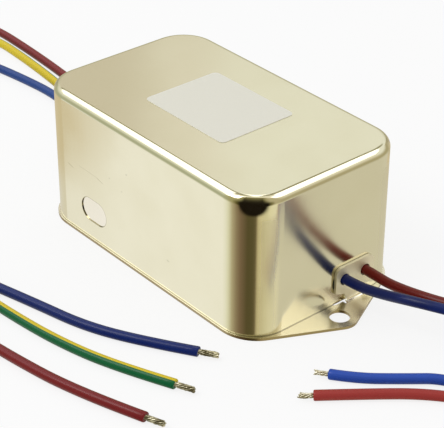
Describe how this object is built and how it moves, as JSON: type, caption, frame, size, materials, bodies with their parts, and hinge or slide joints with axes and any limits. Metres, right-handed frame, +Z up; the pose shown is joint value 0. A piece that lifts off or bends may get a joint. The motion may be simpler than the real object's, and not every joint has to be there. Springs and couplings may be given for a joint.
{
  "type": "emi line filter",
  "caption": "Mains noise filter in a drawn rectangular steel can with rounded corners, on a flat base plate with mounting ears, with insulated wire leads through bent-up tabs at both ends.",
  "frame": {"origin": "centre of the base plate's bottom face, on the surface that the filter is screwed to", "axes": "+X along the can from the end with three leads to the end with two, +Z up from the base plate to the can's top, +Y to the side where the lead tabs stand"},
  "size_m": [0.2833, 0.1057, 0.0407],
  "materials": {
    "plated_can": "smooth bright tin plate with a warm cream cast",
    "plated_plate": "smooth bright tin plate with a warm cream cast",
    "plated_lug": "satin tin plate",
    "label_paper": "matt pale grey label stock, blank",
    "liner_sheet": "matt insulating sheet",
    "ferrite": "matt dark ferrite",
    "divider_plastic": "satin black plastic",
    "enamelled_copper": "glossy enamelled copper",
    "capacitor_case": "satin yellow moulded case",
    "capacitor_ceramic": "glossy dipped ceramic",
    "resistor_lacquer": "glossy lacquer",
    "crimp_sleeve": "satin tin-plated crimp",
    "blue_insulation": "satin dark blue insulation",
    "red_insulation": "satin dark red insulation",
    "earth_insulation": "satin green insulation with a yellow stripe",
    "line_strands": "dull tinned copper strands",
    "load_strands": "bright tinned copper strands"
  },
  "bodies": {
    "root": {"can": "plated_can", "base_plate": "plated_plate", "blank_label": "label_paper", "insulating_liner": "liner_sheet", "choke_core": "ferrite", "choke_divider": "divider_plastic", "choke_winding_line": "enamelled_copper", "choke_winding_neutral": "enamelled_copper", "x_capacitor_line": "capacitor_case", "x_capacitor_load": "capacitor_case", "y_capacitor_line": "capacitor_ceramic", "y_capacitor_neutral": "capacitor_ceramic", "bleed_resistor": "resistor_lacquer", "earth_lug": "plated_lug", "blue_load_lead": "blue_insulation", "blue_load_joint": "crimp_sleeve", "blue_load_strands": "load_strands", "red_load_lead": "red_insulation", "red_load_joint": "crimp_sleeve", "red_load_strands": "load_strands", "blue_line_lead": "blue_insulation", "blue_line_joint": "crimp_sleeve", "blue_line_strands": "line_strands", "earth_lead": "earth_insulation", "earth_joint": "crimp_sleeve", "earth_strands": "line_strands", "red_line_lead": "red_insulation", "red_line_joint": "crimp_sleeve", "red_line_strands": "line_strands"}
  },
  "joints": []
}
